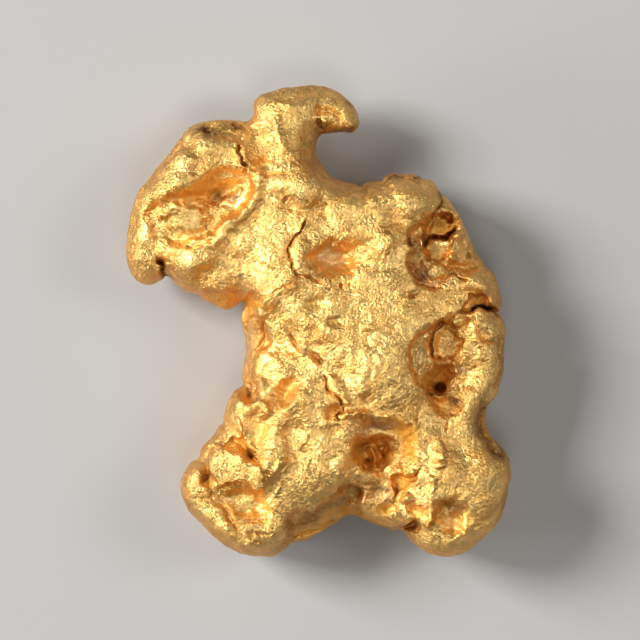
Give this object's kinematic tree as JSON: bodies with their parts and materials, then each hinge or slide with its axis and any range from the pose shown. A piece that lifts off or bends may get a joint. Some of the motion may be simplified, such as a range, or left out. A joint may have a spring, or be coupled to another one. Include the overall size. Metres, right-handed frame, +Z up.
{
  "type": "gold nugget",
  "caption": "Natural gold nugget with rounded lobes, a curled hook, a deep side bay, ragged pits and crevices, lying on its back.",
  "frame": {"origin": "on the table under the middle of the nugget's box, as it lies on its back", "axes": "+Y from the feet towards the hook along the length, +X to the right of the face, +Z up out of the face"},
  "size_m": [0.0192, 0.0236, 0.0068],
  "materials": {
    "gold": null
  },
  "bodies": {
    "root": {"nugget": "gold"}
  },
  "joints": []
}
